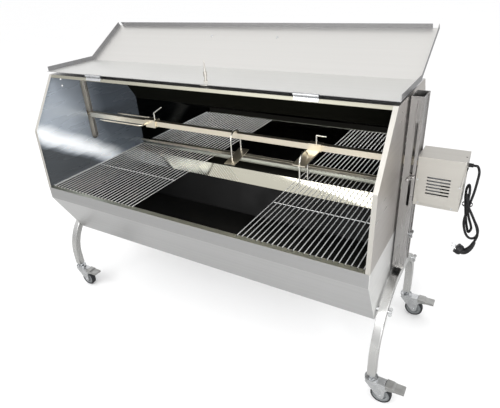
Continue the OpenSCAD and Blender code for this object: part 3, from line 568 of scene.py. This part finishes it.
def wheel(corner):
    """Rubber tyre and moulded hub of one castor"""
    node = f"castor_wheel_{corner}"
    body = f"wheel_{corner}"
    low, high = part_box(node)
    centre = (low + high) / 2
    outer, half = (high.z - low.z) / 2, (high.y - low.y) / 2
    bead = outer * 0.84
    round_r = half * 0.42
    shoulder = half - round_r
    tread = arc_points((outer - round_r, shoulder), round_r, 90, 0, 8)
    tread += arc_points((outer - round_r, -shoulder), round_r, 0, -90, 8)
    profile = [(bead, half * 0.82)] + tread + [(bead, -half * 0.82)]
    tyre = lathe(f"tyre_{corner}", profile, centre, "tyre", body, 96)
    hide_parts(node)
    bore, boss, rib = 4.05 * MM, 11 * MM, 1 * MM
    dish, face = half * 0.35, half * 0.8
    rim = bead - 0.2 * MM
    lip = bead - 2 * MM
    middle = (boss + lip) / 2
    side = [(bore, half), (boss - rib, half), (boss, half - rib), (boss + rib, dish), (middle, dish),
            (middle + rib, face), (lip - 2 * rib, face), (lip - rib, dish), (lip, face), (rim, face)]
    profile = side + [(r, -y) for r, y in reversed(side)]
    lathe(f"hub_{corner}", profile, centre, "hub", body)


def cable():
    """Power cable from the gland, bundled in two loops, to the plug, with the tie round them.

    Its way points are in millimetres: out from the housing's far face, along Y, and up from the
    housing's floor.
    """
    low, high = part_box("motor_housing")
    way = [
        (-12, 54, 125), (15, 54, 125), (25, 54, 123), (32, 48, 107), (32, 42, 81),
        (29, 32, 39), (21, 22, -14), (17, 15, -54), (22, 11, -81), (32, 9, -103),
        (45, 9, -113), (58, 12, -109), (64, 16, -93), (59, 20, -73), (42, 28, -47),
        (21, 38, -14), (9, 45, 14), (5, 46, 37), (7, 44, 55), (12, 35, 65), (17, 22, 51),
        (18, 15, 19), (22, 12, -14), (30, 15, -43), (39, 20, -69), (42, 22, -85),
        (36, 23, -99), (29, 24, -83), (20, 26, -49), (12, 29, -6), (7, 30, 25), (7, 21, 39),
        (10, 8, 43), (14, 1, 31), (22, 0, 7), (43, -1, -31), (59, 0, -66), (64.6, 1, -93),
        (60, 3, -117),
    ]
    way = [Vector((high.x + x * MM, y * MM, low.z + z * MM)) for x, y, z in way]
    made = tube("cable", smooth_path(way, 8), 4 * MM, "cable", "motor_carriage")
    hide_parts("power_cable")
    centre = Vector((high.x + 17 * MM, 22 * MM, low.z + 3 * MM))
    half_width, half_depth = 15, 17
    thick, half_height = 1.2, 2
    outline = ((0, -half_height), (thick, -half_height), (thick, half_height), (0, half_height))
    count = 40
    rings = []
    for k in range(count):
        a = 2 * math.pi * k / count
        out = Vector((half_width * MM * math.cos(a), half_depth * MM * math.sin(a), 0))
        for grow, lift in outline:
            rings.append(centre + out * (1 + grow / half_width) + Vector((0, 0, lift * MM)))
    faces = ring_faces(count, 4, True)
    piece_from("cable_tie", rings, faces, "plastic", "motor_carriage")


def plug():
    """Round plug body on a tilted axis, its grip sweeping up to the cable, and two pins"""
    low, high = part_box("motor_housing")
    face = Vector((high.x + 10 * MM, 8 * MM, low.z - 159 * MM))
    tilt = math.radians(30)
    back = Vector((math.cos(tilt), 0, -math.sin(tilt)))
    up = Vector((math.sin(tilt), 0, math.cos(tilt)))
    side = Vector((0, 1, 0))

    def turned(name, profile, start, look, slot, sides=48):
        points = []
        for r, x in profile:
            for k in range(sides):
                a = 2 * math.pi * k / sides
                ring = math.cos(a) * up + math.sin(a) * side
                points.append(start + back * x * MM + ring * r * MM)
        faces = ring_faces(len(profile), sides)
        return piece_from(name, points, faces, look, "motor_carriage")

    body = [(15.5, 0), (17.2, 0.4), (18, 1.5), (18, 5), (17.4, 6), (17.4, 8), (18, 9), (18, 14),
            (17, 17), (14.5, 20.5), (10, 23), (4, 24)]
    made = turned("plug_body", body, face, "plastic", "black_plastic")
    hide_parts("power_plug")
    for y in (-9.5, 9.5):
        pin = [(1.2, -19), (2, -18.6), (2.4, -17.8), (2.4, 1)]
        turned(f"plug_pin_{'near' if y < 0 else 'far'}", pin, face + side * y * MM, "zinc",
               "black_plastic", 20)
    way = [(10, 0, -5), (20, 0, -9), (29, 0, -7), (38, -1, 4), (44, -2, 16), (47.5, -3, 28),
           (49.5, -4.5, 37)]
    way = [face + Vector(p) * MM for p in way]

    def grip_radius(share):
        ribbed = 0.5 * math.sin(60 * share) if share > 0.55 else 0
        return (12.5 - 7.3 * share + ribbed) * MM

    tube("plug_grip", smooth_path(way, 10), grip_radius, "plastic", "motor_carriage",
         32)


# ---- stage, light and camera ---------------------------------------------------------------


def stage_floor():
    """Plain pale floor; what the metal reflects of it is a little darker than what is seen"""
    size = 300
    mesh = bpy.data.meshes.new("floor")
    mesh.from_pydata([(-size, -size, 0), (size, -size, 0), (size, size, 0), (-size, size, 0)], [],
                     [(0, 1, 2, 3)])
    floor = bpy.data.objects.new("floor", mesh)
    floor.location.z = -0.5 * MM
    bpy.context.scene.collection.objects.link(floor)
    paint = Paint("floor", (0.86, 0.86, 0.85), 0.0, 0.85)
    paint.set("Specular IOR Level", 0.0)
    mottle = paint.noise((1, 1, 1), scale=1.2, detail=3)
    seen = paint.mix(mottle, (0.97, 0.97, 0.97), (0.95, 0.95, 0.95))
    is_seen = paint.node("ShaderNodeLightPath").outputs["Is Camera Ray"]
    paint.set("Base Color", paint.mix(is_seen, (0.6, 0.6, 0.595), seen))
    mesh.materials.append(paint.material)


def world_light():
    """White to the camera; to everything else a room that is bright above and darker below"""
    world = bpy.data.worlds.new("studio")
    bpy.context.scene.world = world
    world.use_nodes = True
    tree = world.node_tree
    where = tree.nodes.new("ShaderNodeTexCoord")
    split = tree.nodes.new("ShaderNodeSeparateXYZ")
    tree.links.new(where.outputs["Generated"], split.inputs[0])
    ramp = tree.nodes.new("ShaderNodeValToRGB")
    stops = ramp.color_ramp.elements
    stops[0].position, stops[0].color = 0.48, (0.55, 0.55, 0.56, 1)
    stops[1].position, stops[1].color = 0.85, (1.0, 1.0, 1.0, 1)
    middle = stops.new(0.6)
    middle.color = (0.75, 0.75, 0.76, 1)
    lift = tree.nodes.new("ShaderNodeMapRange")
    lift.inputs["From Min"].default_value = -1
    tree.links.new(split.outputs["Z"], lift.inputs["Value"])
    tree.links.new(lift.outputs["Result"], ramp.inputs["Fac"])
    path = tree.nodes.new("ShaderNodeLightPath")
    mix = tree.nodes.new("ShaderNodeMix")
    mix.data_type = "RGBA"
    tree.links.new(path.outputs["Is Camera Ray"], mix.inputs[MIX_SHARE])
    tree.links.new(ramp.outputs["Color"], mix.inputs[MIX_A])
    mix.inputs[MIX_B].default_value = (1, 1, 1, 1)
    back = tree.nodes["Background"]
    tree.links.new(mix.outputs[MIX_RESULT], back.inputs["Color"])
    back.inputs["Strength"].default_value = 1.1


def lamp(name, place, target, size, power):
    data = bpy.data.lights.new(name, "AREA")
    data.shape = "RECTANGLE"
    data.size, data.size_y = size
    data.energy = power
    made = bpy.data.objects.new(name, data)
    made.location = place
    made.rotation_euler = (Vector(target) - Vector(place)).to_track_quat("-Z", "Y").to_euler()
    bpy.context.scene.collection.objects.link(made)
    return made


def lights():
    lamp("key", (-1.2, -3.2, 3.4), (0, 0, 0.7), (3.0, 2.0), 70)
    lamp("fill", (3.4, -1.2, 2.2), (0.2, 0, 0.7), (1.6, 2.4), 26)
    lamp("front", (1.9, -2.9, 1.3), (-0.4, 0.1, 0.7), (1.2, 0.8), 45)


def camera():
    """Looks down at the front and motor end, rolled a little, with a moderately wide lens"""
    data = bpy.data.cameras.new("camera")
    data.sensor_width = 36
    data.lens = 31.87
    data.clip_start, data.clip_end = 0.05, 60
    made = bpy.data.objects.new("camera", data)
    bpy.context.scene.collection.objects.link(made)
    azimuth, elevation, roll = (math.radians(a) for a in (32.28, 28.20, 3.74))
    back = Vector((math.sin(azimuth) * math.cos(elevation),
                   -math.cos(azimuth) * math.cos(elevation), math.sin(elevation)))
    right = Vector((0, 0, 1)).cross(back).normalized()
    up = back.cross(right)
    turned = math.cos(roll) * right - math.sin(roll) * up
    upright = math.cos(roll) * up + math.sin(roll) * right
    rotation = Matrix((turned, upright, back)).transposed()
    place = (1.0255, -1.4066, 1.4342)
    made.matrix_world = Matrix.Translation(place) @ rotation.to_4x4()
    bpy.context.scene.camera = made


dress_cabinet()
dress_rest()
line_rest()
for corner in CORNERS:
    wheel(corner)
cable()
plug()
stage_floor()
world_light()
lights()
camera()
bpy.context.scene.view_settings.view_transform = "Standard"
